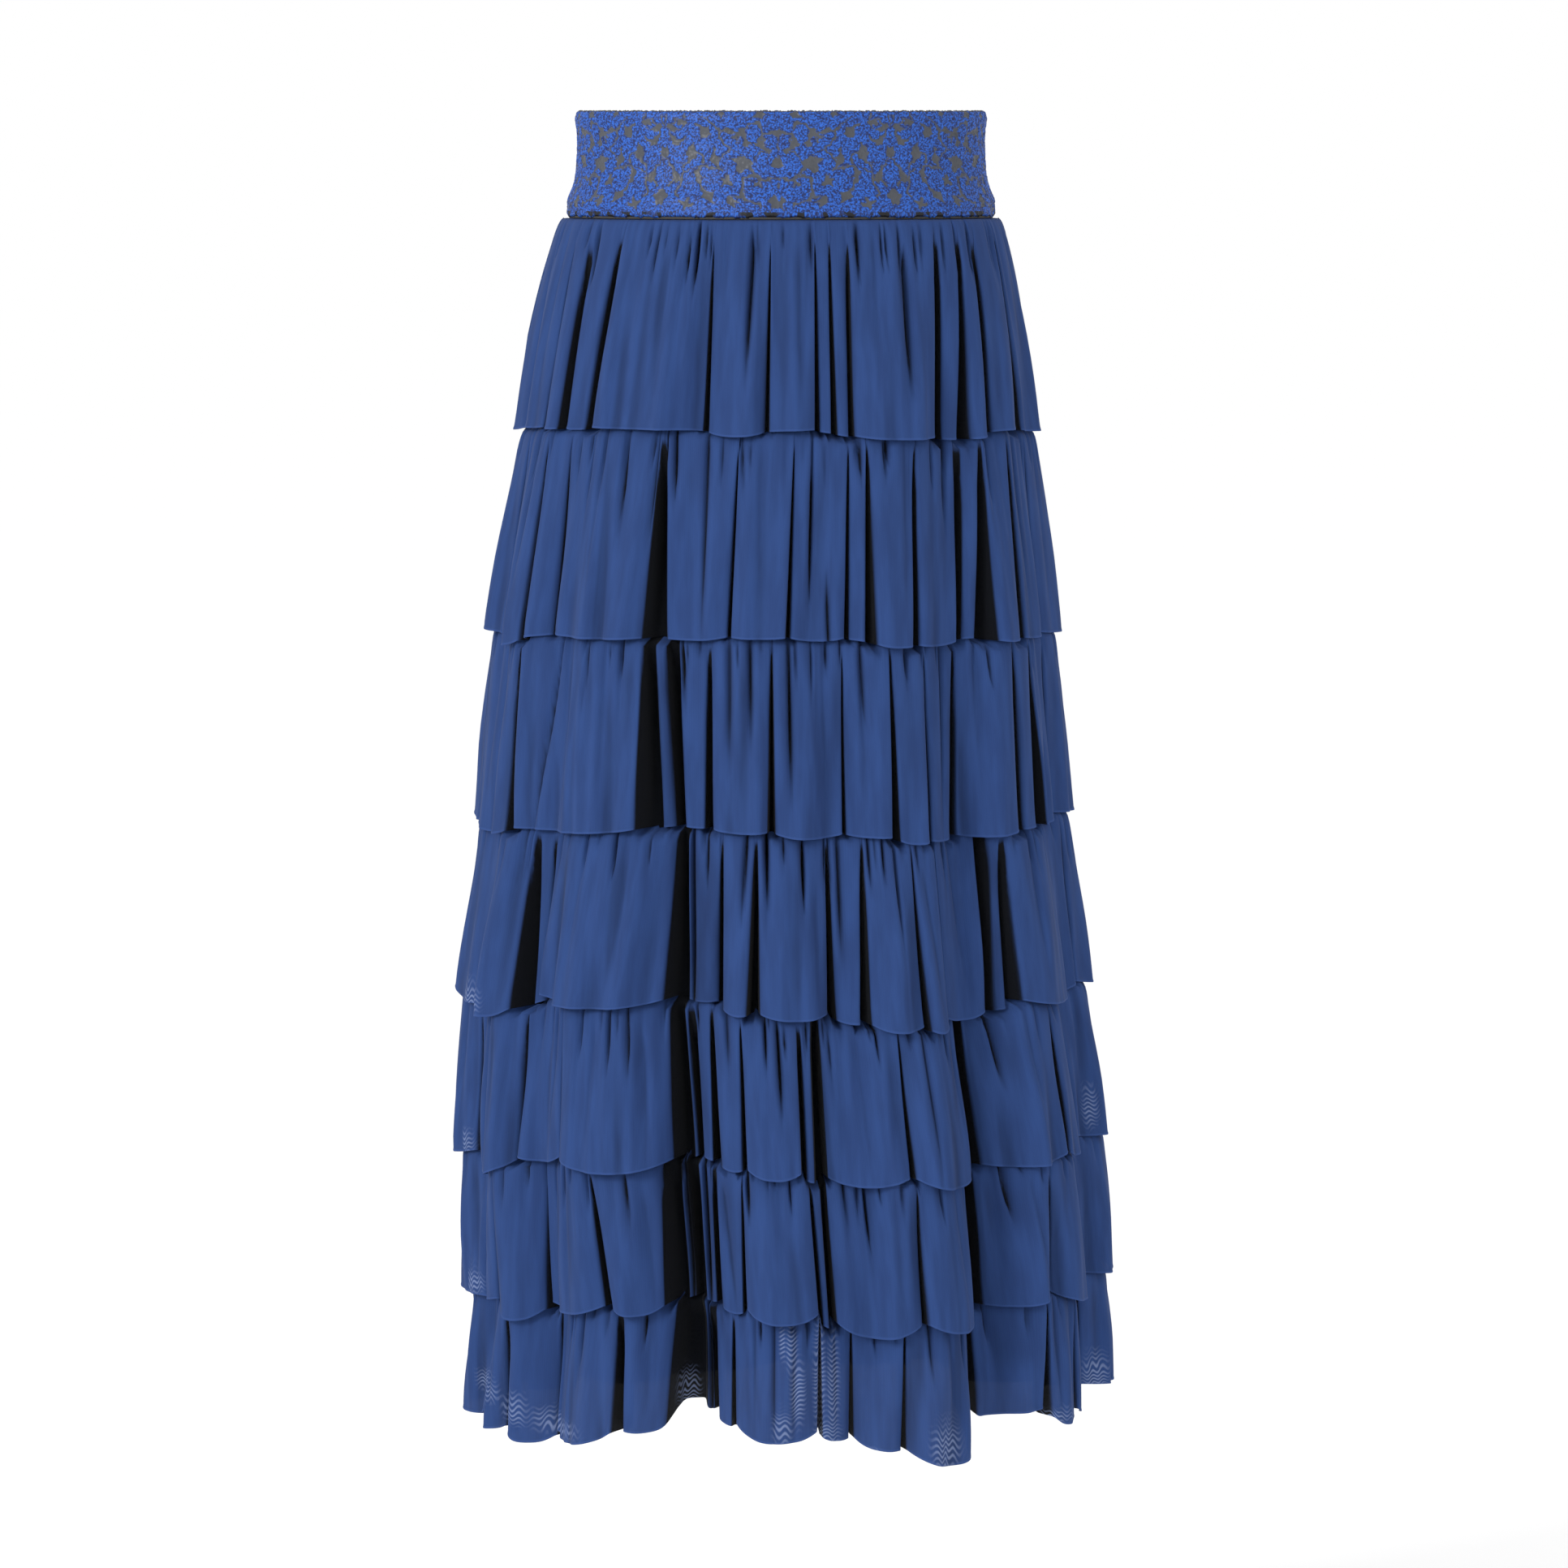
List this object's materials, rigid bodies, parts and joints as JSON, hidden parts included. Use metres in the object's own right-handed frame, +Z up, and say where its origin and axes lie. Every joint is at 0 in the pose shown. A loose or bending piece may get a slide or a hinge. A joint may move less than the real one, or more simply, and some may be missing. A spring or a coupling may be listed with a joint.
{
  "type": "tiered ruffle skirt",
  "caption": "Maxi skirt of gathered mesh ruffles sewn in tiers round a fluted base skirt under a wide damask waistband, filled out as worn.",
  "frame": {"origin": "middle of the waistband, at half its height, on the axis of the waist", "axes": "+Z up towards the waistband's top edge, the front faces -Y, +X to the right as seen from the front"},
  "size_m": [0.4401, 0.3882, 0.8785],
  "materials": {
    "brocade": "woven",
    "satin_binding": "satin",
    "knit_mesh": "knitted"
  },
  "bodies": {
    "root": {"waistband": "brocade", "waistband_binding": "satin_binding", "base_front": "knit_mesh", "base_back": "knit_mesh", "ruffle_1_front": "knit_mesh", "ruffle_1_back": "knit_mesh", "ruffle_2_front": "knit_mesh", "ruffle_2_back": "knit_mesh", "ruffle_3_front": "knit_mesh", "ruffle_3_back": "knit_mesh", "ruffle_4_front": "knit_mesh", "ruffle_4_back": "knit_mesh", "ruffle_5_front": "knit_mesh", "ruffle_5_back": "knit_mesh", "ruffle_6_front": "knit_mesh", "ruffle_6_back": "knit_mesh", "ruffle_7_front": "knit_mesh", "ruffle_7_back": "knit_mesh"}
  },
  "joints": []
}
